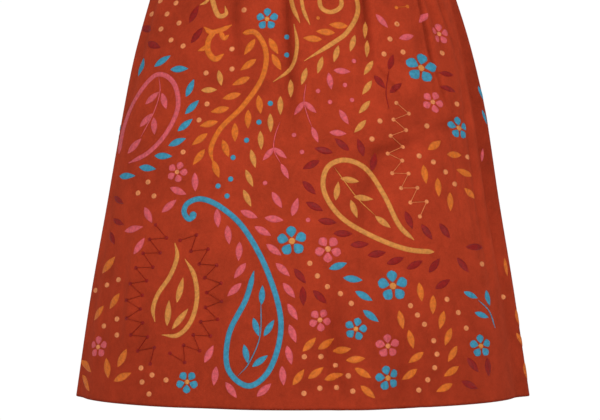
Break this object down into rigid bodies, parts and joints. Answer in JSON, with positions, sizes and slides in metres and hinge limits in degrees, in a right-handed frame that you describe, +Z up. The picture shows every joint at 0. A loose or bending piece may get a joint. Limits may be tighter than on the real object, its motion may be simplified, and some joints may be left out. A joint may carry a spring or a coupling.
{
  "type": "leather skirt",
  "caption": "A-line skirt in soft leather, hollow as worn, with a waistband, soft folds and a centre-back zip.",
  "frame": {"origin": "middle of the waist, halfway up the waistband, where a wearer holds the skirt", "axes": "+Z up, the front faces -Y, +X on the right of someone facing the front"},
  "size_m": [0.6125, 0.421, 0.7758],
  "materials": {
    "suede": "rust red suede with a short soft nap",
    "thread_gold": "satin-stitched gold thread",
    "thread_orange": "satin-stitched orange thread",
    "thread_pink": "satin-stitched pink thread",
    "thread_blue": "satin-stitched turquoise thread",
    "thread_burgundy": "satin-stitched burgundy thread",
    "thread_peach": "stitched peach dots",
    "zip_tape": "woven zip tape",
    "zip_metal": "satin antique brass"
  },
  "bodies": {
    "skirt": {"front_panel": "suede", "back_panel_left": "suede", "back_panel_right": "suede", "waistband": "suede", "zip_tape": "zip_tape", "zip_chain": "zip_metal", "zip_slider": "zip_metal"},
    "tab": {"pull_tab": "zip_metal"}
  },
  "joints": [
    {"name": "pull_tab_swing", "type": "hinge", "parent": "skirt", "child": "tab", "pos_m": [0, 0.1029, 0.009], "axis": [1, 0, 0], "range_deg": [0, 150]}
  ]
}
